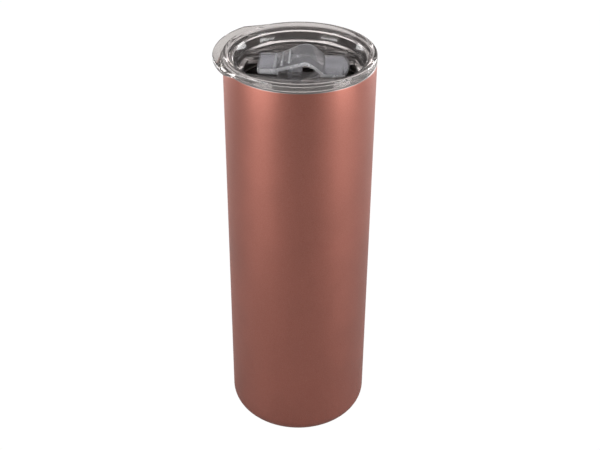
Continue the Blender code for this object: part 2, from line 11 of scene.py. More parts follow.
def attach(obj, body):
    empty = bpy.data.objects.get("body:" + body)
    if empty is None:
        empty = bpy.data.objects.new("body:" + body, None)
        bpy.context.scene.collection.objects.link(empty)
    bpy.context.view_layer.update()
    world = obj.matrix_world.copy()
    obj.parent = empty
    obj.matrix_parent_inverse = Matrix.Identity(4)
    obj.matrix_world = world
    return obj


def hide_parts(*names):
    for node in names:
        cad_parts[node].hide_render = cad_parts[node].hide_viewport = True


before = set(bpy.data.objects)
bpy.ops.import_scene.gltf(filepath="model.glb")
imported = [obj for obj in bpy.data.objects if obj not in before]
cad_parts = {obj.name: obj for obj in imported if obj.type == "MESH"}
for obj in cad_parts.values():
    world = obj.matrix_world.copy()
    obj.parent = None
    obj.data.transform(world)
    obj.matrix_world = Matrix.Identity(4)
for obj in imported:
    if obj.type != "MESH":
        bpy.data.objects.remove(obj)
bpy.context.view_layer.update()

LOG = logging.getLogger("tumbler")
MM = 0.001
WELD = 1e-6
LINE_DRIFT = 0.0006
Point = tuple[float, float]


class Body(str, Enum):
    """The moving bodies that a piece can belong to."""

    TUMBLER = "tumbler"
    LID_SEAL = "lid_seal"
    LID = "lid"
    CLOSURE = "closure"


class Slot(str, Enum):
    """The names of the material slots, one for each kind of finish."""

    COPPER_COAT = "copper_coat"
    BARE_STEEL = "bare_steel"
    FOIL = "foil"
    SOLDER = "solder"
    GETTER_PILL = "getter_pill"
    CLEAR_LID = "clear_lid"
    CLEAR_SLIDER = "clear_slider"
    SILICONE = "silicone"


class Join(str, Enum):
    """What one shape does to another."""

    ADD = "UNION"
    CUT = "DIFFERENCE"


# ------------------------------------------------------------------ modelling
def arc(center: Point, radius: float, start: float, end: float, steps: int) -> list[Point]:
    """Points along an arc, both ends included.

    Args:
        center: The arc's centre.
        radius: Its radius.
        start: Where it starts, in degrees.
        end: Where it ends, in degrees.
        steps: How many equal steps it takes.

    Returns:
        The points, in order.
    """
    turns = [math.radians(start + (end - start) * i / steps) for i in range(steps + 1)]
    return [(center[0] + radius * math.cos(t), center[1] + radius * math.sin(t)) for t in turns]


def deselect_everything() -> None:
    """Leave no object selected, so that an operator meets only the new piece."""
    if bpy.context.object is not None and bpy.context.object.mode != "OBJECT":
        bpy.ops.object.mode_set(mode="OBJECT")
    bpy.ops.object.select_all(action="DESELECT")


def make_active(piece: bpy.types.Object) -> None:
    """Select one piece alone."""
    deselect_everything()
    piece.select_set(True)
    bpy.context.view_layer.objects.active = piece


def name_new(name: str) -> bpy.types.Object:
    """Name the primitive that was just added, with its place put into its mesh.

    Args:
        name: The object's name.

    Returns:
        The object.
    """
    piece = bpy.context.object
    piece.name = name
    piece.data.name = name
    bpy.ops.object.transform_apply(location=True, rotation=True, scale=True)
    return piece


def select_points(piece: bpy.types.Object, wanted: Callable[[Vector], bool]) -> None:
    """Select the piece's points by their place, and leave it in edit mode.

    Args:
        piece: The piece to select on.
        wanted: Says whether a point at this place is selected.
    """
    make_active(piece)
    bpy.ops.object.mode_set(mode="EDIT")
    bpy.ops.mesh.select_mode(type="VERT")
    bpy.ops.mesh.select_all(action="DESELECT")
    bpy.ops.object.mode_set(mode="OBJECT")
    for point in piece.data.vertices:
        point.select = wanted(point.co)
    bpy.ops.object.mode_set(mode="EDIT")


def tidy_mesh(piece: bpy.types.Object) -> None:
    """Merge doubled points and turn every face outward."""
    make_active(piece)
    bpy.ops.object.mode_set(mode="EDIT")
    bpy.ops.mesh.select_all(action="SELECT")
    bpy.ops.mesh.remove_doubles(threshold=WELD)
    bpy.ops.mesh.normals_make_consistent(inside=False)
    bpy.ops.object.mode_set(mode="OBJECT")


def turn_profile(name: str, profile: Sequence[Point], segments: int) -> bpy.types.Object:
    """Turn a closed (radius, height) profile about the vertical axis, ring by ring.

    Args:
        name: The new piece's name.
        profile: The outline. A first or last point on the axis closes that end with a pole.
        segments: How many points each ring has.

    Returns:
        The turned piece, closed, with its faces outward.
    """
    opens_on_axis = profile[0][0] < WELD
    closes_on_axis = profile[-1][0] < WELD
    rings = [point for point in profile if point[0] >= WELD]
    first = rings[0]
    if not (opens_on_axis or closes_on_axis):
        rings.append(first)
    deselect_everything()
    bpy.ops.mesh.primitive_circle_add(vertices=segments, radius=first[0],
                                      location=(0.0, 0.0, first[1]))
    piece = name_new(name)
    bpy.ops.object.mode_set(mode="EDIT")
    bpy.ops.mesh.select_all(action="SELECT")
    for before, after in zip(rings, rings[1:]):
        bpy.ops.mesh.extrude_region_move(
            TRANSFORM_OT_translate={"value": (0.0, 0.0, after[1] - before[1])})
        share = after[0] / before[0]
        bpy.ops.transform.resize(value=(share, share, 1.0), center_override=(0.0, 0.0, after[1]))
    if closes_on_axis:
        close_with_pole(profile[-1][1] - rings[-1][1])
    if opens_on_axis:
        select_points(piece, lambda co: abs(co.z - first[1]) < WELD
                      and abs(math.hypot(co.x, co.y) - first[0]) < WELD)
        close_with_pole(profile[0][1] - first[1])
    bpy.ops.object.mode_set(mode="OBJECT")
    tidy_mesh(piece)
    return piece


def close_with_pole(rise: float) -> None:
    """Close the selected ring with a fan of faces that meet in one point."""
    bpy.ops.mesh.extrude_region_move(TRANSFORM_OT_translate={"value": (0.0, 0.0, rise)})
    bpy.ops.mesh.merge(type="CENTER")


@dataclass(frozen=True)
class Station:
    """One cross-section of a piece that is drawn out along X."""

    x: float
    half_width: float
    low: float
    high: float


def draw_out(name: str, stations: Sequence[Station]) -> bpy.types.Object:
    """Extrude a rectangular section along X, resized and moved at each station.

    Args:
        name: The new piece's name.
        stations: The sections, in order of x.

    Returns:
        The closed piece.
    """
    start = stations[0]
    deselect_everything()
    bpy.ops.mesh.primitive_plane_add(size=1.0, location=(0.0, 0.0, 0.0),
                                     rotation=(0.0, math.pi / 2, 0.0))
    piece = name_new(name)
    bpy.ops.object.mode_set(mode="EDIT")
    bpy.ops.mesh.select_all(action="SELECT")
    bpy.ops.transform.resize(value=(1.0, 2 * start.half_width, start.high - start.low),
                             center_override=(0.0, 0.0, 0.0))
    bpy.ops.transform.translate(value=(start.x, 0.0, (start.low + start.high) / 2))
    for before, after in zip(stations, stations[1:]):
        middle_before = (before.low + before.high) / 2
        middle_after = (after.low + after.high) / 2
        bpy.ops.mesh.extrude_region_move(TRANSFORM_OT_translate={
            "value": (after.x - before.x, 0.0, middle_after - middle_before)})
        bpy.ops.transform.resize(
            value=(1.0, after.half_width / before.half_width,
                   (after.high - after.low) / (before.high - before.low)),
            center_override=(after.x, 0.0, middle_after))
    bpy.ops.object.mode_set(mode="OBJECT")
    tidy_mesh(piece)
    return piece


def disc_tool(name: str, radius: float, low: float, high: float, center: Point = (0.0, 0.0),
              segments: int = 256) -> bpy.types.Object:
    """A round tool between two heights, to add to a piece or cut from it."""
    deselect_everything()
    bpy.ops.mesh.primitive_cylinder_add(
        vertices=segments, radius=radius, depth=high - low,
        location=(center[0], center[1], (low + high) / 2))
    return name_new(name)


@dataclass(frozen=True)
class StraightSide:
    """A straight side of an outline, by the way it faces and how far off it stands."""

    facing: float
    distance: float

    def reach(self, turn: float) -> float:
        """How far the outline's centre is from this side, looking along turn."""
        toward = math.cos(turn - self.facing)
        return self.distance / toward if toward > 1e-6 else math.inf


@dataclass(frozen=True)
class RoundSide:
    """A side that follows a circle, by the circle's centre and radius."""

    center: Point
    radius: float

    def reach(self, turn: float) -> float:
        """How far the outline's centre is from this side, looking along turn."""
        along = math.cos(turn) * self.center[0] + math.sin(turn) * self.center[1]
        off = self.center[0] ** 2 + self.center[1] ** 2
        return along + math.sqrt(along ** 2 - off + self.radius ** 2)


def outline_tool(name: str, center: Point, sides: Sequence[StraightSide | RoundSide],
                 low: float, high: float, crispness: float = 80.0,
                 segments: int = 360) -> bpy.types.Object:
    """A tool inside several sides, with the corners between them eased.

    Args:
        name: The tool's name.
        center: A point inside the outline.
        sides: The sides, each placed from that point.
        low: The tool's lower level.
        high: Its upper level.
        crispness: How tight the corners are.
        segments: How many points go round the outline.

    Returns:
        The tool.
    """
    deselect_everything()
    bpy.ops.mesh.primitive_circle_add(vertices=segments, radius=1.0, fill_type="NGON")
    tool = name_new(name)
    for point in tool.data.vertices:
        turn = math.atan2(point.co.y, point.co.x)
        nearest = min(side.reach(turn) for side in sides)
        crowd = sum((nearest / side.reach(turn)) ** crispness for side in sides)
        reach = nearest * crowd ** (-1.0 / crispness)
        point.co = (center[0] + reach * math.cos(turn), center[1] + reach * math.sin(turn), low)
    bpy.ops.object.mode_set(mode="EDIT")
    bpy.ops.mesh.select_all(action="SELECT")
    bpy.ops.mesh.extrude_region_move(TRANSFORM_OT_translate={"value": (0.0, 0.0, high - low)})
    bpy.ops.object.mode_set(mode="OBJECT")
    tidy_mesh(tool)
    return tool


def block_tool(name: str, low: Sequence[float], high: Sequence[float]) -> bpy.types.Object:
    """A square tool between two corners, to add to a piece or cut from it."""
    deselect_everything()
    bpy.ops.mesh.primitive_cube_add(size=1.0)
    piece = bpy.context.object
    piece.location = [(a + b) / 2 for a, b in zip(low, high)]
    piece.scale = [b - a for a, b in zip(low, high)]
    return name_new(name)


def combine(piece: bpy.types.Object, tool: bpy.types.Object, join: Join) -> None:
    """Apply one Boolean to a piece, and remove its tool.

    Args:
        piece: The piece that is changed.
        tool: The shape that changes it.
        join: What the tool does.
    """
    make_active(piece)
    bpy.ops.object.modifier_add(type="BOOLEAN")
    modifier = piece.modifiers[-1]
    modifier.operation = join.value
    modifier.solver = "EXACT"
    modifier.object = tool
    bpy.ops.object.modifier_apply(modifier=modifier.name)
    bpy.data.objects.remove(tool)


def soften_edges(piece: bpy.types.Object, width: float, segments: int = 2,
                 angle: float = 32.0, clamp: bool = True) -> None:
    """Round the piece's sharp edges with an applied bevel.

    Args:
        piece: The piece to soften.
        width: The bevel's width.
        segments: How many steps it is rounded in.
        angle: The least turn, in degrees, of an edge that is rounded.
        clamp: Whether the width is held back where bevels would meet.
    """
    make_active(piece)
    bpy.ops.object.modifier_add(type="BEVEL")
    modifier = piece.modifiers[-1]
    modifier.width = width
    modifier.segments = segments
    modifier.limit_method = "ANGLE"
    modifier.angle_limit = math.radians(angle)
    modifier.use_clamp_overlap = clamp
    modifier.miter_outer = "MITER_ARC"
    bpy.ops.object.modifier_apply(modifier=modifier.name)


def finish_piece(piece: bpy.types.Object, material: bpy.types.Material, body: Body,
                 stands_for: Sequence[str] = (), smooth_angle: float = 32.0) -> bpy.types.Object:
    """Shade, dress and mount a finished piece.

    Args:
        piece: The piece, with its place in its mesh.
        material: Its finish.
        body: The body that it moves with.
        stands_for: The plain nodes that it replaces.
        smooth_angle: The widest turn, in degrees, that is shaded smooth.

    Returns:
        The piece.
    """
    make_active(piece)
    bpy.ops.object.shade_smooth_by_angle(angle=math.radians(smooth_angle))
    piece.data.materials.clear()
    piece.data.materials.append(material)
    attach(piece, body.value)
    if stands_for:
        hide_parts(*stands_for)
    LOG.info("%s: %d faces, moves with %s", piece.name, len(piece.data.polygons), body.value)
    return piece


# ------------------------------------------------------------------ shader groups
@dataclass
class NodeBench:
    """A node tree with short ways to add and link its nodes."""

    tree: bpy.types.NodeTree

    def add(self, kind: str, **settings: object) -> bpy.types.Node:
        """Add a node and set its properties.

        Args:
            kind: The node's type name, without ShaderNode.
            **settings: Property values by name.

        Returns:
            The node.
        """
        node = self.tree.nodes.new(f"ShaderNode{kind}")
        for key, value in settings.items():
            setattr(node, key, value)
        return node

    def link(self, source: bpy.types.NodeSocket, target: bpy.types.NodeSocket) -> None:
        """Join two sockets."""
        self.tree.links.new(source, target)

    def math(self, operation: str, first: object, second: object) -> bpy.types.NodeSocket:
        """A Math node on two inputs, each a socket or a number.

        Args:
            operation: The Math node's operation.
            first: The first input.
            second: The second input.

        Returns:
            Its output socket.
        """
        node = self.add("Math", operation=operation)
        for socket, value in zip(node.inputs, (first, second)):
            if isinstance(value, bpy.types.NodeSocket):
                self.link(value, socket)
            else:
                socket.default_value = value
        return node.outputs[0]

    def off_axis(self, split: bpy.types.Node) -> bpy.types.NodeSocket:
        """The distance from the vertical axis, from a place split into X, Y and Z."""
        across = self.math("POWER", split.outputs["X"], 2.0)
        along = self.math("POWER", split.outputs["Y"], 2.0)
        return self.math("POWER", self.math("ADD", across, along), 0.5)

    def spread(self, source: bpy.types.NodeSocket, low: float, high: float,
               to_low: float = 0.0, to_high: float = 1.0) -> bpy.types.NodeSocket:
        """Map a value from one range to another, held inside it.

        Args:
            source: The value's socket.
            low: The value that becomes to_low.
            high: The value that becomes to_high.
            to_low: The new range's start.
            to_high: The new range's end.

        Returns:
            The mapped value's socket.
        """
        node = self.add("MapRange")
        self.link(source, node.inputs["Value"])
        for key, value in (("From Min", low), ("From Max", high), ("To Min", to_low),
                           ("To Max", to_high)):
            node.inputs[key].default_value = value
        return node.outputs["Result"]

    def blend(self, mask: bpy.types.NodeSocket, first: Sequence[float] | bpy.types.NodeSocket,
              second: Sequence[float]) -> bpy.types.NodeSocket:
        """Blend two colours by a mask.

        Args:
            mask: The share of the second colour.
            first: The colour, or its socket, where the mask is 0.
            second: The colour where the mask is 1.

        Returns:
            The blended colour's socket.
        """
        node = self.add("Mix", data_type="RGBA")
        self.link(mask, node.inputs["Factor"])
        if isinstance(first, bpy.types.NodeSocket):
            self.link(first, node.inputs[6])
        else:
            node.inputs[6].default_value = (*first, 1.0)
        node.inputs[7].default_value = (*second, 1.0)
        return node.outputs[2]


def new_group(name: str, inputs: dict[str, tuple[str, float]],
              outputs: Iterable[str]) -> tuple[NodeBench, bpy.types.Node, bpy.types.Node]:
    """Start a shader group with named sockets.

    Args:
        name: The group's name.
        inputs: Each input's kind, Float or Vector, and its usual value.
        outputs: The names of the values that it puts out.

    Returns:
        The group's bench, its input node and its output node.
    """
    tree = bpy.data.node_groups.new(name, "ShaderNodeTree")
    for key, (kind, value) in inputs.items():
        socket = tree.interface.new_socket(key, in_out="INPUT", socket_type=f"NodeSocket{kind}")
        if kind == "Float":
            socket.default_value = value
    for key in outputs:
        tree.interface.new_socket(key, in_out="OUTPUT", socket_type="NodeSocketFloat")
    start = tree.nodes.new("NodeGroupInput")
    end = tree.nodes.new("NodeGroupOutput")
    return NodeBench(tree), start, end


def make_grain_group() -> bpy.types.NodeTree:
    """Fine grain over broader mottling, as in a sprayed or moulded skin.

    Returns:
        The group. Grain is fine, Mottle is broad, and Height is for a bump.
    """
    bench, start, end = new_group(
        "SurfaceGrain", {"Vector": ("Vector", 0.0), "Scale": ("Float", 2000.0),
                         "Mottle Scale": ("Float", 60.0)}, ("Grain", "Mottle", "Height"))
    fine = bench.add("TexNoise")
    fine.inputs["Detail"].default_value = 3.0
    fine.inputs["Roughness"].default_value = 0.6
    broad = bench.add("TexNoise")
    broad.inputs["Detail"].default_value = 4.0
    for node, scale in ((fine, "Scale"), (broad, "Mottle Scale")):
        bench.link(start.outputs["Vector"], node.inputs["Vector"])
        bench.link(start.outputs[scale], node.inputs["Scale"])
    grain = bench.spread(fine.outputs["Fac"], 0.3, 0.7)
    bench.link(grain, end.inputs["Grain"])
    bench.link(bench.spread(broad.outputs["Fac"], 0.32, 0.68), end.inputs["Mottle"])
    bench.link(grain, end.inputs["Height"])
    return bench.tree


def make_turning_group() -> bpy.types.NodeTree:
    """Lines round a turned or spun piece: noise that changes with radius and height only.

    Returns:
        The group. Lines is both the mask and the height of the lines.
    """
    bench, start, end = new_group(
        "TurningLines", {"Vector": ("Vector", 0.0), "Scale": ("Float", 1500.0)}, ("Lines",))
    split = bench.add("SeparateXYZ")
    bench.link(start.outputs["Vector"], split.inputs[0])
    radius = bench.off_axis(split)
    around = bench.math("ARCTAN2", split.outputs["Y"], split.outputs["X"])
    joined = bench.add("CombineXYZ")
    bench.link(radius, joined.inputs["X"])
    bench.link(bench.math("MULTIPLY", around, LINE_DRIFT), joined.inputs["Y"])
    bench.link(split.outputs["Z"], joined.inputs["Z"])
    noise = bench.add("TexNoise")
    noise.inputs["Detail"].default_value = 4.0
    bench.link(joined.outputs[0], noise.inputs["Vector"])
    bench.link(start.outputs["Scale"], noise.inputs["Scale"])
    bench.link(bench.spread(noise.outputs["Fac"], 0.3, 0.7), end.inputs["Lines"])
    return bench.tree


def make_handling_group() -> bpy.types.NodeTree:
    """Marks of handling: sparse smudges broken up by finer noise.

    Returns:
        The group. Marks is 1 where the surface is marked.
    """
    bench, start, end = new_group(
        "HandlingMarks", {"Vector": ("Vector", 0.0), "Scale": ("Float", 35.0),
                          "Threshold": ("Float", 0.56)}, ("Marks",))
    broad = bench.add("TexNoise")
    broad.inputs["Detail"].default_value = 5.0
    broad.inputs["Distortion"].default_value = 0.6
    bench.link(start.outputs["Vector"], broad.inputs["Vector"])
    bench.link(start.outputs["Scale"], broad.inputs["Scale"])
    fine = bench.add("TexNoise")
    bench.link(start.outputs["Vector"], fine.inputs["Vector"])
    bench.link(bench.math("MULTIPLY", start.outputs["Scale"], 9.0), fine.inputs["Scale"])
    past = bench.math("SUBTRACT", broad.outputs["Fac"], start.outputs["Threshold"])
    share = bench.spread(past, 0.0, 0.12)
    broken = bench.math("MULTIPLY", share, bench.spread(fine.outputs["Fac"], 0.35, 0.65, 0.4))
    bench.link(broken, end.inputs["Marks"])
    return bench.tree


@dataclass
class GroupSet:
    """The shader groups that more than one finish uses."""

    grain: bpy.types.NodeTree = field(default_factory=make_grain_group)
    turning: bpy.types.NodeTree = field(default_factory=make_turning_group)
    handling: bpy.types.NodeTree = field(default_factory=make_handling_group)


# ------------------------------------------------------------------ finishes
@dataclass
class Shader:
    """A new material's bench, its Principled BSDF and its object coordinates."""

    name: str
    groups: GroupSet

    def __post_init__(self) -> None:
        """Make the material and its fixed nodes."""
        self.material = bpy.data.materials.new(self.name)
        self.material.use_nodes = True
        self.bench = NodeBench(self.material.node_tree)
        self.surface = self.material.node_tree.nodes["Principled BSDF"]
        self.place = self.bench.add("TexCoord").outputs["Object"]

    def set(self, **values: object) -> None:
        """Set plain values on the Principled BSDF, with _ for the spaces in a socket's name."""
        for key, value in values.items():
            self.surface.inputs[key.replace("_", " ")].default_value = value

    def use(self, group: bpy.types.NodeTree, **values: float) -> bpy.types.Node:
        """Place a group on the object's coordinates, with its own values.

        Args:
            group: The shader group.
            **values: Input values by name, with _ for spaces.

        Returns:
            The group's node.
        """
        node = self.bench.add("Group")
        node.node_tree = group
        self.bench.link(self.place, node.inputs["Vector"])
        for key, value in values.items():
            node.inputs[key.replace("_", " ")].default_value = value
        return node

    def feed(self, source: bpy.types.NodeSocket, socket: str) -> None:
        """Link a varying value to the Principled BSDF."""
        self.bench.link(source, self.surface.inputs[socket])

    def bump(self, height: bpy.types.NodeSocket, depth: float, strength: float = 1.0,
             over: Optional[bpy.types.Node] = None) -> bpy.types.Node:
        """Turn a height into the surface's normal.

        Args:
            height: The height's socket.
            depth: How deep the full height is, in metres.
            strength: How much of the bump shows.
            over: A bump node that this one adds to.

        Returns:
            The bump node.
        """
        node = self.bench.add("Bump")
        node.inputs["Strength"].default_value = strength
        node.inputs["Distance"].default_value = depth
        self.bench.link(height, node.inputs["Height"])
        if over is not None:
            self.bench.link(over.outputs[0], node.inputs["Normal"])
        self.feed(node.outputs[0], "Normal")
        return node


@dataclass(frozen=True)
class CoatFinish:
    """Satin metallic coat with fine flake and a soft orange-peel skin, ending below a bare steel
    rim that is painted dark as shade.
    """

    name: str = "copper_coat"
    shade: tuple[float, float, float] = (0.325, 0.112, 0.084)
    flake: tuple[float, float, float] = (0.385, 0.153, 0.118)
    worn: tuple[float, float, float] = (0.300, 0.100, 0.080)
    wear_strength: float = 0.35
    # The rim's top is bare steel, coloured darker than the bare_steel finish: painted shade under
    # the lid's flange.
    bare_rim_painted_shade: tuple[float, float, float] = (0.25, 0.235, 0.23)
    coat_end: float = 205.85 * MM
    roughness: tuple[float, float] = (0.40, 0.49)

    def build(self, groups: GroupSet) -> bpy.types.Material:
        """Make the material."""
        shader = Shader(self.name, groups)
        bench = shader.bench
        shader.set(Metallic=0.9, Coat_Weight=0.12, Coat_Roughness=0.35)
        grain = shader.use(groups.grain, Scale=2600.0, Mottle_Scale=45.0)
        marks = shader.use(groups.handling, Scale=28.0, Threshold=0.60)
        flaked = bench.blend(grain.outputs["Grain"], self.shade, self.flake)
        wear = bench.math("MULTIPLY", marks.outputs["Marks"], self.wear_strength)
        toned = bench.blend(wear, flaked, self.worn)
        split = bench.add("SeparateXYZ")
        bench.link(shader.place, split.inputs[0])
        # Above coat_end the colour turns to the bare rim's steel, painted dark as shade under the
        # flange.
        bare = bench.spread(split.outputs["Z"], self.coat_end, self.coat_end + 0.1 * MM)
        shader.feed(bench.blend(bare, toned, self.bare_rim_painted_shade), "Base Color")
        shader.feed(bench.spread(grain.outputs["Mottle"], 0.0, 1.0, *self.roughness), "Roughness")
        peel = shader.use(groups.grain, Scale=700.0, Mottle_Scale=20.0)
        first = shader.bump(peel.outputs["Height"], 0.00004, 0.35)
        shader.bump(grain.outputs["Height"], 0.00003, 0.5, first)
        return shader.material


@dataclass(frozen=True)
class SteelFinish:
    """Bare steel with lines round it from turning or polishing."""

    name: str = "bare_steel"
    dark: tuple[float, float, float] = (0.42, 0.415, 0.41)
    light: tuple[float, float, float] = (0.56, 0.555, 0.54)
    roughness: tuple[float, float] = (0.34, 0.48)
    line_scale: float = 1400.0

    def build(self, groups: GroupSet) -> bpy.types.Material:
        """Make the material."""
        shader = Shader(self.name, groups)
        bench = shader.bench
        shader.set(Metallic=1.0)
        lines = shader.use(groups.turning, Scale=self.line_scale)
        marks = shader.use(groups.handling, Scale=40.0, Threshold=0.57)
        shader.feed(bench.blend(lines.outputs["Lines"], self.dark, self.light), "Base Color")
        rough = bench.spread(lines.outputs["Lines"], 0.0, 1.0, *self.roughness)
        worn = bench.math("MULTIPLY", marks.outputs["Marks"], 0.12)
        shader.feed(bench.math("ADD", rough, worn), "Roughness")
        shader.bump(lines.outputs["Lines"], 0.00002, 0.5)
        return shader.material


@dataclass(frozen=True)
class ClearFinish:
    """Clear moulded plastic with faint flow marks and small scuffs; its tab, thinner than the
    flange, is tinted paler as painted light.
    """

    name: str
    tint: tuple[float, float, float]
    haze: tuple[float, float, float]
    roughness: tuple[float, float]
    clearness: float
    # The tab's paler tint, from the radius below outward, is painted light for its brighter look,
    # not a different plastic.
    painted_tab_light: Optional[tuple[float, float, float]] = None
    painted_tab_light_from: float = 35.8 * MM
    index: float = 1.49
    ripple: float = 0.00002

    def build(self, groups: GroupSet) -> bpy.types.Material:
        """Make the material."""
        shader = Shader(self.name, groups)
        bench = shader.bench
        shader.set(Metallic=0.0, Transmission_Weight=self.clearness, IOR=self.index)
        flow = shader.use(groups.grain, Scale=260.0, Mottle_Scale=50.0)
        marks = shader.use(groups.handling, Scale=90.0, Threshold=0.55)
        tinted = bench.blend(flow.outputs["Mottle"], self.tint, self.haze)
        # Beyond the tab's radius the tint turns paler: painted light.
        if self.painted_tab_light is not None:
            split = bench.add("SeparateXYZ")
            bench.link(shader.place, split.inputs[0])
            past = bench.spread(bench.off_axis(split), self.painted_tab_light_from, self.painted_tab_light_from + MM)
            tinted = bench.blend(past, tinted, self.painted_tab_light)
        shader.feed(tinted, "Base Color")
        rough = bench.spread(flow.outputs["Mottle"], 0.0, 1.0, *self.roughness)
        worn = bench.math("MULTIPLY", marks.outputs["Marks"], 0.06)
        shader.feed(bench.math("ADD", rough, worn), "Roughness")
        shader.bump(flow.outputs["Height"], self.ripple, 0.25)
        return shader.material


@dataclass(frozen=True)
class RubberFinish:
    """Milky silicone with a soft matt skin and a little lint."""

    name: str = "silicone"
    body: tuple[float, float, float] = (0.60, 0.60, 0.62)
    dusty: tuple[float, float, float] = (0.70, 0.70, 0.71)

    def build(self, groups: GroupSet) -> bpy.types.Material:
        """Make the material."""
        shader = Shader(self.name, groups)
        bench = shader.bench
        shader.set(Metallic=0.0, Specular_IOR_Level=0.35, Subsurface_Weight=0.15,
                   Subsurface_Radius=(0.002, 0.002, 0.002), Subsurface_Scale=1.0)
        grain = shader.use(groups.grain, Scale=1800.0, Mottle_Scale=120.0)
        marks = shader.use(groups.handling, Scale=110.0, Threshold=0.54)
        shader.feed(bench.blend(marks.outputs["Marks"], self.body, self.dusty), "Base Color")
        shader.feed(bench.spread(grain.outputs["Mottle"], 0.0, 1.0, 0.48, 0.62), "Roughness")
        shader.bump(grain.outputs["Height"], 0.00003, 0.4)
        return shader.material


@dataclass(frozen=True)
class PlainMetalFinish:
    """Foil, solder or pressed powder: a mottled metal with its own crumple or grain."""

    name: str
    dark: tuple[float, float, float]
    light: tuple[float, float, float]
    metallic: float
    roughness: tuple[float, float]
    grain_scale: float
    relief: float

    def build(self, groups: GroupSet) -> bpy.types.Material:
        """Make the material."""
        shader = Shader(self.name, groups)
        bench = shader.bench
        shader.set(Metallic=self.metallic)
        grain = shader.use(groups.grain, Scale=self.grain_scale, Mottle_Scale=90.0)
        shader.feed(bench.blend(grain.outputs["Mottle"], self.dark, self.light), "Base Color")
        shader.feed(bench.spread(grain.outputs["Grain"], 0.0, 1.0, *self.roughness), "Roughness")
        shader.bump(grain.outputs["Height"], self.relief, 0.6)
        return shader.material


@dataclass
class Palette:
    """Every finish of the tumbler, each made once."""

    groups: GroupSet = field(default_factory=GroupSet)

    def __post_init__(self) -> None:
        """Make the materials."""
        self.coat = CoatFinish().build(self.groups)
        self.steel = SteelFinish().build(self.groups)
        # The last colour is the tab's paler tint, painted light.
        self.clear = ClearFinish("clear_lid", (0.60, 0.56, 0.55), (0.54, 0.505, 0.50),
                                 (0.04, 0.08), 0.94, (0.71, 0.67, 0.65)).build(self.groups)
        self.slider = ClearFinish("clear_slider", (0.78, 0.77, 0.79), (0.72, 0.71, 0.74),
                                  (0.05, 0.11), 0.88).build(self.groups)
        self.edge = ClearFinish("slider_cut_edge", (0.86, 0.86, 0.88), (0.80, 0.80, 0.83),
                                (0.22, 0.34), 0.55).build(self.groups)
        self.rubber = RubberFinish().build(self.groups)
        self.foil = PlainMetalFinish("copper_foil", (0.60, 0.28, 0.16), (0.80, 0.44, 0.28), 1.0,
                                     (0.18, 0.34), 900.0, 0.00005).build(self.groups)
        self.solder = PlainMetalFinish("solder", (0.34, 0.34, 0.36), (0.52, 0.52, 0.54), 1.0,
                                       (0.30, 0.48), 1500.0, 0.00003).build(self.groups)
        self.getter = PlainMetalFinish("pressed_powder", (0.14, 0.14, 0.15), (0.26, 0.26, 0.27),
                                       0.4, (0.70, 0.88), 2400.0, 0.00004).build(self.groups)


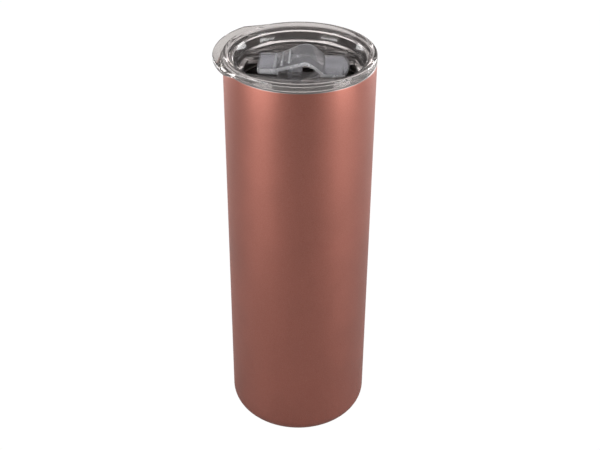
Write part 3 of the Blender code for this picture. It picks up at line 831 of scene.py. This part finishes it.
# ------------------------------------------------------------------ tumbler
@dataclass
class Tumbler:
    """The double-walled beaker: coated shell, steel liner, pressed base and its hidden parts."""

    palette: Palette
    height: float = 206.5 * MM
    radius: float = 36.5 * MM
    shell_wall: float = 0.5 * MM
    foot_round: float = 8.2 * MM
    rim_round: float = 0.8 * MM
    liner_radius: float = 32.9 * MM
    liner_wall: float = 0.4 * MM
    liner_floor: float = 9.4 * MM
    liner_corner: float = 6.0 * MM
    liner_base_height: float = 7.0 * MM
    seam_outset: float = 1.3 * MM
    recess_radius: float = 27.0 * MM
    recess_hem: float = 2.8 * MM
    cover_wall: float = 0.6 * MM
    cover_rim: float = 2.4 * MM
    fit: float = 0.3 * MM
    segments: int = 256

    def build(self) -> None:
        """Build and dress every piece of the beaker."""
        self.build_shell()
        self.build_liner()
        self.build_liner_base()
        self.build_base_cover()
        self.dress_hidden_parts()

    def build_shell(self) -> None:
        """The coated outer tube, rounded at the rim and foot and hemmed into the recess."""
        seam = self.liner_radius + self.seam_outset + self.fit
        inner = self.radius - self.shell_wall
        hem = self.recess_radius + self.shell_wall
        top_arc = (self.radius - self.rim_round, self.height - self.rim_round)
        foot_arc = (self.radius - self.foot_round, self.foot_round)
        inner_round = self.foot_round - self.shell_wall
        profile = [(seam, self.height), *arc(top_arc, self.rim_round, 90, 0, 8)]
        profile += [(self.radius, z * MM) for z in (190, 150, 110, 70, 30)]
        profile += arc(foot_arc, self.foot_round, 0, -82, 14)
        profile += [(self.recess_radius + 0.9 * MM, 0.05 * MM),
                    (self.recess_radius + 0.4 * MM, 0.0)]
        profile += [(self.recess_radius, 0.35 * MM), (self.recess_radius, self.recess_hem)]
        profile += [(hem, self.recess_hem), (hem, self.shell_wall)]
        profile += arc(foot_arc, inner_round, -88, 0, 10)
        profile += [(inner, self.height - self.rim_round)]
        profile += [(inner - self.fit, self.height - self.shell_wall)]
        profile += [(seam, self.height - self.shell_wall)]
        shell = turn_profile("coated_shell", profile, self.segments)
        finish_piece(shell, self.palette.coat, Body.TUMBLER, ["outer_shell"])

    def build_liner(self) -> None:
        """The bare steel inner tube, flared out to the rim's seam."""
        outer = self.liner_radius + self.liner_wall
        seam = self.liner_radius + self.seam_outset
        foot = self.liner_floor + self.liner_base_height + self.fit
        bend = (self.liner_radius + self.rim_round, self.height - self.rim_round)
        profile = [(self.liner_radius, foot)]
        profile += [(self.liner_radius, z * MM) for z in (50, 90, 130, 170)]
        profile += arc(bend, self.rim_round, 180, 90, 8)
        profile += [(seam, self.height), (seam, self.height - self.liner_wall)]
        profile += arc(bend, self.rim_round - self.liner_wall, 90, 180, 5)
        profile += [(outer, foot)]
        liner = turn_profile("steel_liner", profile, self.segments)
        finish_piece(liner, self.palette.steel, Body.TUMBLER, ["inner_liner"])

    def build_liner_base(self) -> None:
        """The dished bottom of the cup, with a shallow pressed ring."""
        outer = self.liner_radius + self.liner_wall
        top = self.liner_floor + self.liner_base_height
        bend = (self.liner_radius - self.liner_corner, self.liner_floor + self.liner_corner)
        profile = [(0.0, self.liner_floor), (15.0 * MM, self.liner_floor)]
        profile += [(15.6 * MM, self.liner_floor + 0.15 * MM),
                    (17.0 * MM, self.liner_floor + 0.15 * MM)]
        profile += [(17.6 * MM, self.liner_floor), *arc(bend, self.liner_corner, -90, 0, 12)]
        profile += [(self.liner_radius, top), (outer, top)]
        profile += arc(bend, self.liner_corner + self.liner_wall, 0, -90, 12)
        profile += [(0.0, self.liner_floor - self.liner_wall)]
        base = turn_profile("steel_cup_floor", profile, self.segments)
        finish_piece(base, self.palette.steel, Body.TUMBLER, ["liner_base"])

    def build_base_cover(self) -> None:
        """The flat cover pressed in under the foot, with rolled edge and turned rings."""
        radius = self.recess_radius - self.fit - self.shell_wall - self.fit
        inner = radius - self.cover_wall
        wall = self.cover_wall
        profile = [(0.0, 0.0), (8.0 * MM, 0.0), (8.3 * MM, 0.12 * MM), (9.0 * MM, 0.12 * MM)]
        profile += [(9.3 * MM, 0.0), (20.0 * MM, 0.0), (20.4 * MM, 0.15 * MM)]
        profile += [(21.4 * MM, 0.15 * MM), (21.8 * MM, 0.0)]
        profile += arc((radius - wall / 2, wall / 2), wall / 2, -90, 0, 5)
        profile += [(radius, self.cover_rim), (inner, self.cover_rim), (inner, wall), (0.0, wall)]
        cover = turn_profile("steel_base_cover", profile, 192)
        finish_piece(cover, self.palette.steel, Body.TUMBLER, ["base_cover"])

    def dress_hidden_parts(self) -> None:
        """Give the parts between the walls their own finishes."""
        looks = {"outer_base": (self.palette.steel, Slot.BARE_STEEL),
                 "getter_clip": (self.palette.steel, Slot.BARE_STEEL),
                 "vacuum_seal_bead": (self.palette.solder, Slot.SOLDER),
                 "foil_wrap": (self.palette.foil, Slot.FOIL),
                 "getter": (self.palette.getter, Slot.GETTER_PILL)}
        for name, (material, slot) in looks.items():
            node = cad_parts[name]
            node.data.materials.clear()
            node.data.materials.append(material)
            LOG.info("%s: kept, dressed in %s", name, material.name)


# ------------------------------------------------------------------ lid
@dataclass
class Lid:
    """The clear push-in lid: flange and tab, well, boat-shaped channel, openings and plug."""

    palette: Palette
    rim: float = 206.5 * MM
    radius: float = 36.5 * MM
    fit: float = 0.3 * MM
    flange_height: float = 3.7 * MM
    crest_inset: float = 1.1 * MM
    edge_round: float = 0.9 * MM
    groove_width: float = 1.3 * MM
    groove_depth: float = 2.0 * MM
    tab_reach: float = 4.64 * MM
    tab_direction: float = math.radians(175.0)
    tab_half_angle: float = math.radians(40.0)
    tab_thickness: float = 2.2 * MM
    tab_drop: float = 0.35 * MM
    tab_softness: float = 0.45 * MM
    softness: float = 0.16 * MM
    well_radius: float = 32.0 * MM
    well_edge_drop: float = 2.4 * MM
    well_floor_radius: float = 30.3 * MM
    well_floor_drop: float = 2.0 * MM
    floor_thickness: float = 2.0 * MM
    floor_round: float = 0.6 * MM
    plug_radius: float = 32.2 * MM
    plug_wall: float = 2.2 * MM
    plug_depth: float = 14.0 * MM
    plug_chamfer: float = 0.6 * MM
    seal_groove_top: float = 7.0 * MM
    seal_groove_height: float = 4.0 * MM
    seal_groove_depth: float = 1.3 * MM
    channel_depth: float = 2.6 * MM
    channel_half_width: float = 15.6 * MM
    channel_side_radius: float = 90.0 * MM
    channel_end_radius: float = 29.0 * MM
    channel_wall: float = 1.8 * MM
    channel_step: Point = (0.9 * MM, 0.5 * MM)
    hole_reach: float = 26.6 * MM
    drink_hole_length: float = 8.1 * MM
    drink_hole_half_width: float = 8.8 * MM
    vent_hole_length: float = 7.4 * MM
    vent_hole_half_width: float = 7.8 * MM
    slot_x: Point = (-13.8 * MM, 6.5 * MM)
    slot_half_width: float = 4.2 * MM
    segments: int = 256

    def build(self) -> None:
        """Build and dress the lid's body and its sealing ring."""
        self.build_body()
        self.build_seal_ring()

    def section(self) -> list[Point]:
        """Half section of the lid, with its edges rounded.

        Returns:
            The closed outline as (radius, height), starting and ending on the axis.
        """
        crest = self.rim + self.fit + self.flange_height
        bottom = self.rim + self.fit
        floor = self.rim - self.well_floor_drop
        under = floor - self.floor_thickness
        crest_radius = self.radius - self.crest_inset
        well_edge = crest - self.well_edge_drop
        groove_out = crest_radius - self.fit
        groove_in = groove_out - self.groove_width
        groove_roof = bottom + self.groove_depth
        plug_foot = self.rim - self.plug_depth
        seal_high = self.rim - self.seal_groove_top
        seal_low = seal_high - self.seal_groove_height
        seal_floor = self.plug_radius - self.seal_groove_depth
        plug_inside = self.plug_radius - self.plug_wall
        bend = self.well_floor_radius - self.floor_round
        outline = [(0.0, floor), (bend, floor)]
        outline += arc((bend, floor + self.floor_round), self.floor_round, -70, -10, 4)
        outline += [(self.well_floor_radius + 0.25 * MM, floor + 1.1 * MM)]
        outline += [(self.well_radius - 0.6 * MM, self.rim + 0.6 * MM)]
        outline += arc((self.well_radius + 0.45 * MM, well_edge - 0.25 * MM), 0.5 * MM, 170, 100, 4)
        outline += [(crest_radius - 0.9 * MM, crest - 0.28 * MM),
                    (crest_radius - 0.3 * MM, crest - 0.02 * MM)]
        outline += [(crest_radius, crest)]
        outline += arc((self.radius - self.edge_round, crest - self.edge_round),
                       self.edge_round, 75, 0, 7)
        outline += [(self.radius, bottom + self.fit), (self.radius - 0.1 * MM, bottom + 0.1 * MM)]
        outline += [(self.radius - self.fit, bottom), (groove_out, bottom),
                    (groove_out, groove_roof)]
        outline += [(groove_in, groove_roof), (groove_in, bottom), (self.plug_radius, bottom)]
        outline += [(self.plug_radius, seal_high), (seal_floor, seal_high), (seal_floor, seal_low)]
        outline += [(self.plug_radius, seal_low)]
        outline += [(self.plug_radius, plug_foot + self.plug_chamfer)]
        outline += [(self.plug_radius - self.plug_chamfer, plug_foot)]
        outline += [(plug_inside + self.fit, plug_foot), (plug_inside, plug_foot + self.fit)]
        outline += [(plug_inside, under), (0.0, under)]
        return outline

    def tab_tool(self) -> bpy.types.Object:
        """The lifting tab: part of a wider disc, with sides tangent to the flange.

        Returns:
            The tab, hollowed where the flange already is.
        """
        reach = self.radius + self.tab_reach
        high = self.rim + self.fit + self.flange_height - self.tab_drop
        low = high - self.tab_thickness
        tab = disc_tool("lifting_tab", reach, low, high)
        tangent = self.tab_half_angle + math.acos(self.radius / reach)
        cuts = [(self.tab_direction + side * tangent, self.radius) for side in (-1, 1)]
        cuts.append((self.tab_direction + math.pi, -self.radius * math.cos(tangent)))
        for turn, distance in cuts:
            normal = (math.cos(turn), math.sin(turn), 0.0)
            make_active(tab)
            bpy.ops.object.mode_set(mode="EDIT")
            bpy.ops.mesh.select_all(action="SELECT")
            bpy.ops.mesh.bisect(plane_co=[axis * distance for axis in normal], plane_no=normal,
                                use_fill=True, clear_outer=True)
            bpy.ops.object.mode_set(mode="OBJECT")
        soften_edges(tab, self.tab_softness, 3)
        inside = disc_tool("tab_inside", self.radius - self.crest_inset, low - MM, high + MM)
        combine(tab, inside, Join.CUT)
        return tab

    def boat_tool(self, name: str, grow: float, low: float, high: float) -> bpy.types.Object:
        """The channel's shape from above: two long side arcs, cut off by the end circle.

        Args:
            name: The tool's name.
            grow: How far it stands outside the channel.
            low: Its lower level.
            high: Its upper level.

        Returns:
            The tool, with its corners eased.
        """
        offset = self.channel_side_radius - self.channel_half_width
        side = self.channel_side_radius + grow
        sides = [RoundSide((0.0, 0.0), self.channel_end_radius + grow),
                 RoundSide((0.0, -offset), side), RoundSide((0.0, offset), side)]
        return outline_tool(name, (0.0, 0.0), sides, low, high)

    def hole_tool(self, name: str, direction: int, length: float, half_width: float,
                  levels: Point) -> bpy.types.Object:
        """A D-shaped hole whose far side follows the lid's round.

        Args:
            name: The tool's name.
            direction: 1 for the +X side, -1 for the -X side.
            length: The hole's size along X.
            half_width: Half its size along Y.
            levels: Its lower and upper level.

        Returns:
            The tool, with its corners eased.
        """
        middle = direction * (self.hole_reach - length / 2)
        inward = math.pi if direction > 0 else 0.0
        sides = [RoundSide((-middle, 0.0), self.hole_reach), StraightSide(inward, length / 2),
                 StraightSide(math.pi / 2, half_width), StraightSide(-math.pi / 2, half_width)]
        return outline_tool(name, (middle, 0.0), sides, *levels, crispness=24.0, segments=180)

    def build_body(self) -> None:
        """The lid's clear body."""
        floor = self.rim - self.well_floor_drop
        channel_floor = floor - self.channel_depth
        channel_under = channel_floor - self.channel_wall
        above = self.rim + self.fit + self.flange_height + MM
        body = turn_profile("clear_lid_body", self.section(), self.segments)
        combine(body, self.tab_tool(), Join.ADD)
        boss = self.boat_tool("boss", self.channel_wall, channel_under,
                              floor - self.floor_thickness / 2)
        combine(body, boss, Join.ADD)
        combine(body, self.boat_tool("channel", 0.0, channel_floor, above), Join.CUT)
        step_out, step_down = self.channel_step
        combine(body, self.boat_tool("channel_step", step_out, floor - step_down, above), Join.CUT)
        levels = (channel_under - self.floor_thickness, above)
        combine(body, self.hole_tool("drink_hole", 1, self.drink_hole_length,
                                     self.drink_hole_half_width, levels), Join.CUT)
        combine(body, self.hole_tool("vent_hole", -1, self.vent_hole_length,
                                     self.vent_hole_half_width, levels), Join.CUT)
        slot = block_tool("guide_slot", (self.slot_x[0], -self.slot_half_width, levels[0]),
                          (self.slot_x[1], self.slot_half_width, levels[1]))
        combine(body, slot, Join.CUT)
        soften_edges(body, self.softness, 2, 40.0, False)
        finish_piece(body, self.palette.clear, Body.LID, ["lid_body"])

    def build_seal_ring(self) -> None:
        """The silicone ring in the plug's groove, with its two lips."""
        inner = self.plug_radius - self.seal_groove_depth + self.fit
        lip = self.plug_radius + 0.4 * MM
        waist = self.plug_radius - self.fit
        high = self.rim - self.seal_groove_top - self.fit
        low = high - self.seal_groove_height + 2 * self.fit
        profile = [(inner, low), (inner, high), (lip - 0.1 * MM, high), (lip, high - 0.1 * MM)]
        profile += [(lip, high - 0.4 * MM), (waist + 0.2 * MM, high - 0.8 * MM)]
        profile += [(waist, high - 1.1 * MM), (waist, low + 1.1 * MM)]
        profile += [(waist + 0.2 * MM, low + 0.8 * MM), (lip, low + 0.4 * MM)]
        profile += [(lip, low + 0.1 * MM), (lip - 0.1 * MM, low)]
        ring = turn_profile("silicone_seal_ring", profile, self.segments)
        finish_piece(ring, self.palette.rubber, Body.LID_SEAL, ["lid_gasket"])


# ------------------------------------------------------------------ closure
@dataclass
class Closure:
    """The sliding closure: two plates, the arched thumb grip, snap legs and seal pads."""

    palette: Palette
    rim: float = 206.5 * MM
    fit: float = 0.3 * MM
    plate_bottom: float = -4.0 * MM
    vent_thickness: float = 2.7 * MM
    drink_thickness: float = 1.4 * MM
    vent_end: float = -19.78 * MM
    drink_end: float = 23.5 * MM
    vent_half_width: float = 9.2 * MM
    drink_half_width: float = 10.99 * MM
    end_bulge: float = 2.6 * MM
    corner: float = 2.0 * MM
    arch_start: float = -9.8 * MM
    arch_end: float = 10.2 * MM
    arch_peak_x: float = 2.4 * MM
    arch_peak: float = 3.2 * MM
    arch_sheet: float = 1.7 * MM
    rise_straight: float = 0.6
    fall_power: float = 1.15
    ridge_radius: float = 0.55 * MM
    ridge_pitch: float = 3.4 * MM
    ridge_first_x: float = -11.6 * MM
    ridge_count: int = 3
    ridge_half_length: float = 7.0 * MM
    pad_thickness: float = 0.8 * MM
    pad_margin: float = 0.9 * MM
    leg_x: Point = (-5.5 * MM, 1.2 * MM)
    leg_outside: float = 3.9 * MM
    leg_thickness: float = 1.3 * MM
    hook_top: float = -6.7 * MM
    hook_height: float = 1.2 * MM
    hook_reach: float = 1.3 * MM
    softness: float = 0.35 * MM
    small_softness: float = 0.2 * MM

    def build(self) -> None:
        """Build and dress the closure and its two pads."""
        self.build_slider()
        self.build_drink_pad()
        self.build_vent_pad()

    def half_width(self, x: float, margin: float = 0.0) -> float:
        """Half the closure's width at x.

        Args:
            x: The place along the closure.
            margin: How far inside the outline to measure.

        Returns:
            The half width, which falls away round both ends.
        """
        share = min(max((x - self.arch_start) / -self.arch_start, 0.0), 1.0)
        ease = share * share * (3.0 - 2.0 * share)
        wide = self.vent_half_width + (self.drink_half_width - self.vent_half_width) * ease - margin
        bulge = self.end_bulge
        radius = (bulge ** 2 + self.drink_half_width ** 2) / (2 * bulge)
        from_center = x - (self.drink_end - radius)
        if from_center > 0.0:
            wide = min(wide, math.sqrt(max((radius - margin) ** 2 - from_center ** 2, 0.0)))
        into_corner = self.vent_end + margin + self.corner - x
        if into_corner > 0.0:
            fall = self.corner - math.sqrt(max(self.corner ** 2 - into_corner ** 2, 0.0))
            wide = self.vent_half_width - margin - fall
        return max(wide, 0.4 * MM)

    def top(self, x: float) -> float:
        """Height of the closure's upper side at x, above the rim plane."""
        if x <= self.arch_peak_x:
            start = self.arch_start - self.arch_sheet
            plate = self.plate_bottom + self.vent_thickness
            share = min(max((x - start) / (self.arch_peak_x - start), 0.0), 1.0)
            ease = share * share * (3.0 - 2.0 * share)
            curve = self.rise_straight * share + (1.0 - self.rise_straight) * ease
        else:
            end = self.arch_end + self.arch_sheet
            plate = self.plate_bottom + self.drink_thickness
            share = min(max((end - x) / (end - self.arch_peak_x), 0.0), 1.0)
            curve = math.sin(math.pi / 2 * share) ** self.fall_power
        return plate + (self.arch_peak - plate) * curve

    def underside(self, x: float) -> float:
        """Height of the closure's lower side at x, above the rim plane."""
        if self.arch_start < x < self.arch_end:
            return max(self.top(x) - self.arch_sheet, self.plate_bottom + self.fit)
        return self.plate_bottom

    def stations(self) -> list[Station]:
        """The cross-sections from the vent end to the drink end."""
        low_end = self.vent_end
        quarter = [low_end + self.corner * (1 - math.cos(math.radians(a)))
                   for a in (0, 15, 30, 45, 60, 75, 90)]
        steps = 56
        first = quarter[-1]
        last = self.drink_end - self.end_bulge - 0.4 * MM
        middle = [first + (last - first) * i / steps for i in range(1, steps)]
        bulge = [self.drink_end - self.end_bulge * (1 - i / 12) ** 2 - 0.01 * MM for i in range(13)]
        places = quarter + middle + bulge
        for edge in (self.arch_start, self.arch_end):
            places += [edge - 0.02 * MM, edge + 0.02 * MM]
        return [Station(x, self.half_width(x), self.rim + self.underside(x), self.rim + self.top(x))
                for x in sorted(places)]

    def build_slider(self) -> None:
        """The clear closure in one piece."""
        body = draw_out("sliding_closure", self.stations())
        soften_edges(body, self.softness, 3, 45.0)
        for side in (-1, 1):
            combine(body, self.leg_tool(side), Join.ADD)
        for index in range(self.ridge_count):
            combine(body, self.ridge_tool(index), Join.ADD)
        pocket_top = self.rim + self.plate_bottom - self.fit + self.pad_thickness + self.fit
        for name, outline in (("drink_pocket", self.drink_pad_stations),
                              ("vent_pocket", self.vent_pad_stations)):
            pocket = draw_out(name, outline(self.pad_margin - self.fit,
                                            self.rim + self.plate_bottom - MM, pocket_top))
            combine(body, pocket, Join.CUT)
        finish_piece(body, self.palette.slider, Body.CLOSURE, ["slider"])
        self.frost_edges(body)

    def frost_edges(self, body: bpy.types.Object) -> None:
        """Give the closure's side faces and thumb ridges their milky look."""
        body.data.materials.append(self.palette.edge)
        grip = self.arch_start + 6.0 * MM
        for face in body.data.polygons:
            place = face.center
            proud = place.z - self.rim - self.top(place.x)
            on_side = abs(face.normal.y) > 0.75 and place.z > self.rim + self.plate_bottom
            if on_side or (place.x < grip and proud > 0.12 * MM):
                face.material_index = 1

    def leg_tool(self, side: int) -> bpy.types.Object:
        """One snap leg with its hook.

        Args:
            side: 1 for the +Y leg, -1 for the -Y leg.

        Returns:
            The leg, from its hook up into the arch.
        """
        near, far = self.leg_x
        low = self.rim + self.hook_top - self.hook_height
        high = self.rim + min(self.underside(near), self.underside(far)) + self.arch_sheet / 2
        ends = sorted((side * (self.leg_outside - self.leg_thickness), side * self.leg_outside))
        leg = block_tool("snap_leg", (near, ends[0], low), (far, ends[1], high))
        reach = sorted((side * self.leg_outside - side * 0.2 * MM,
                        side * (self.leg_outside + self.hook_reach)))
        hook = block_tool("hook", (near, reach[0], low),
                          (far, reach[1], self.rim + self.hook_top))
        combine(leg, hook, Join.ADD)
        soften_edges(leg, self.small_softness)
        return leg

    def ridge_tool(self, index: int) -> bpy.types.Object:
        """One raised ridge across the longer slope, with rounded ends."""
        x = self.ridge_first_x + self.ridge_pitch * index
        deselect_everything()
        bpy.ops.mesh.primitive_cylinder_add(
            vertices=24, radius=self.ridge_radius, depth=2 * self.ridge_half_length,
            location=(x, 0.0, self.rim + self.top(x)), rotation=(math.pi / 2, 0.0, 0.0))
        ridge = name_new("thumb_ridge")
        soften_edges(ridge, 0.25 * MM, 2, 60.0)
        return ridge

    def drink_pad_stations(self, margin: float, low: float, high: float) -> list[Station]:
        """The drink-end pad's sections, set in from the closure's outline by a margin."""
        start = self.arch_end + self.fit + margin
        end = self.drink_end - margin
        count = 24
        places = [start + (end - start) * (1 - (1 - i / count) ** 2) for i in range(count + 1)]
        return [Station(x, self.half_width(min(x, end - 0.01 * MM), margin), low, high)
                for x in places]

    def vent_pad_stations(self, margin: float, low: float, high: float) -> list[Station]:
        """The vent-end pad's sections: a plain rectangle inside the end plate."""
        far = self.vent_end + margin
        near = self.arch_start - margin
        half = self.vent_half_width - margin
        return [Station(far, half, low, high), Station((far + near) / 2, half, low, high),
                Station(near, half, low, high)]

    def build_drink_pad(self) -> None:
        """The silicone pad under the drink end."""
        low = self.rim + self.plate_bottom - self.fit
        pad = draw_out("drink_pad", self.drink_pad_stations(self.pad_margin, low,
                                                            low + self.pad_thickness))
        soften_edges(pad, self.small_softness, 3)
        finish_piece(pad, self.palette.rubber, Body.CLOSURE, ["drink_seal_pad"])

    def build_vent_pad(self) -> None:
        """The silicone pad under the vent end."""
        low = self.rim + self.plate_bottom - self.fit
        pad = draw_out("vent_pad", self.vent_pad_stations(self.pad_margin, low,
                                                          low + self.pad_thickness))
        soften_edges(pad, self.small_softness, 3)
        finish_piece(pad, self.palette.rubber, Body.CLOSURE, ["vent_seal_pad"])


# ------------------------------------------------------------------ studio
@dataclass(frozen=True)
class SoftBox:
    """One rectangular studio light, aimed at a point."""

    name: str
    place: tuple[float, float, float]
    size: tuple[float, float]
    power: float
    target: tuple[float, float, float] = (0.0, 0.0, 0.12)

    def build(self) -> None:
        """Add the light."""
        data = bpy.data.lights.new(self.name, "AREA")
        data.shape = "RECTANGLE"
        data.size, data.size_y = self.size
        data.energy = self.power
        lamp = bpy.data.objects.new(self.name, data)
        bpy.context.scene.collection.objects.link(lamp)
        toward = Vector(self.target) - Vector(self.place)
        lamp.matrix_world = (Matrix.Translation(self.place)
                             @ toward.to_track_quat("-Z", "Y").to_matrix().to_4x4())


@dataclass
class Studio:
    """The pale floor, the soft lights and the camera."""

    camera_place: tuple[float, float, float] = (20.9 * MM, -466.6 * MM, 417.3 * MM)
    camera_target: tuple[float, float, float] = (0.53 * MM, 0.02 * MM, 113.0 * MM)
    camera_roll: float = math.radians(0.36)
    lens: float = 64.4
    floor_size: float = 8.0
    paper_shade: float = 0.42
    shown_white: float = 1.02
    boxes: tuple[SoftBox, ...] = (
        SoftBox("left_box", (-0.64, -0.50, 0.29), (0.44, 0.56), 6.9),
        SoftBox("right_box", (0.74, -0.34, 0.29), (0.40, 0.56), 6.7),
        SoftBox("left_rim_box", (-0.62, 0.48, 0.22), (0.40, 0.44), 3.6),
        SoftBox("right_rim_box", (0.62, 0.48, 0.22), (0.40, 0.44), 4.2),
        SoftBox("top_box", (0.0, 0.15, 1.3), (1.4, 1.2), 5.0, (0.0, 0.0, 0.2)))
    surround: float = 0.07

    def build(self) -> None:
        """Set up everything that isn't the object."""
        self.build_floor()
        self.build_surround()
        for box in self.boxes:
            box.build()
        self.build_camera()

    def looked_at(self, bench: NodeBench) -> bpy.types.NodeSocket:
        """1 for what is looked at straight or through clear plastic, and 0 for a reflection."""
        path = bench.add("LightPath")
        return bench.math("MAXIMUM", path.outputs["Is Camera Ray"],
                          path.outputs["Is Transmission Ray"])

    def paper(self, name: str) -> bpy.types.Material:
        """A matt white sheet that shows as plain white where it is looked at."""
        material = bpy.data.materials.new(name)
        material.use_nodes = True
        bench = NodeBench(material.node_tree)
        surface = material.node_tree.nodes["Principled BSDF"]
        surface.inputs["Base Color"].default_value = (*[self.paper_shade] * 3, 1.0)
        surface.inputs["Roughness"].default_value = 0.9
        glow = bench.add("Emission")
        glow.inputs["Strength"].default_value = self.shown_white
        choose = bench.add("MixShader")
        bench.link(self.looked_at(bench), choose.inputs[0])
        bench.link(surface.outputs[0], choose.inputs[1])
        bench.link(glow.outputs[0], choose.inputs[2])
        bench.link(choose.outputs[0], material.node_tree.nodes["Material Output"].inputs[0])
        return material

    def build_floor(self) -> None:
        """The floor that the tumbler stands on."""
        deselect_everything()
        bpy.ops.mesh.primitive_plane_add(size=self.floor_size)
        floor = name_new("studio_floor")
        floor.data.materials.append(self.paper("floor_paper"))

    def build_surround(self) -> None:
        """The even light of the room, which shows as plain white where it is looked at."""
        world = bpy.data.worlds.new("studio")
        world.use_nodes = True
        bpy.context.scene.world = world
        bench = NodeBench(world.node_tree)
        back = world.node_tree.nodes["Background"]
        back.inputs["Color"].default_value = (1.0, 1.0, 1.0, 1.0)
        strength = bench.spread(self.looked_at(bench), 0.0, 1.0, self.surround,
                                self.shown_white)
        bench.link(strength, back.inputs["Strength"])

    def build_camera(self) -> None:
        """The camera, a little above the tumbler and looking down on it."""
        data = bpy.data.cameras.new("camera")
        data.lens = self.lens
        data.sensor_width = 36.0
        data.clip_start = 0.01
        camera = bpy.data.objects.new("camera", data)
        bpy.context.scene.collection.objects.link(camera)
        toward = Vector(self.camera_target) - Vector(self.camera_place)
        camera.matrix_world = (Matrix.Translation(self.camera_place)
                               @ toward.to_track_quat("-Z", "Y").to_matrix().to_4x4()
                               @ Matrix.Rotation(self.camera_roll, 4, "Z"))
        bpy.context.scene.camera = camera
        bpy.context.scene.view_settings.view_transform = "Standard"


def main() -> None:
    """Build the tumbler, its lid and its closure, then the studio round them."""
    logging.basicConfig(level=logging.INFO, format="%(message)s")
    palette = Palette()
    Tumbler(palette).build()
    Lid(palette).build()
    Closure(palette).build()
    Studio().build()
    deselect_everything()


if __name__ == "__main__":
    main()
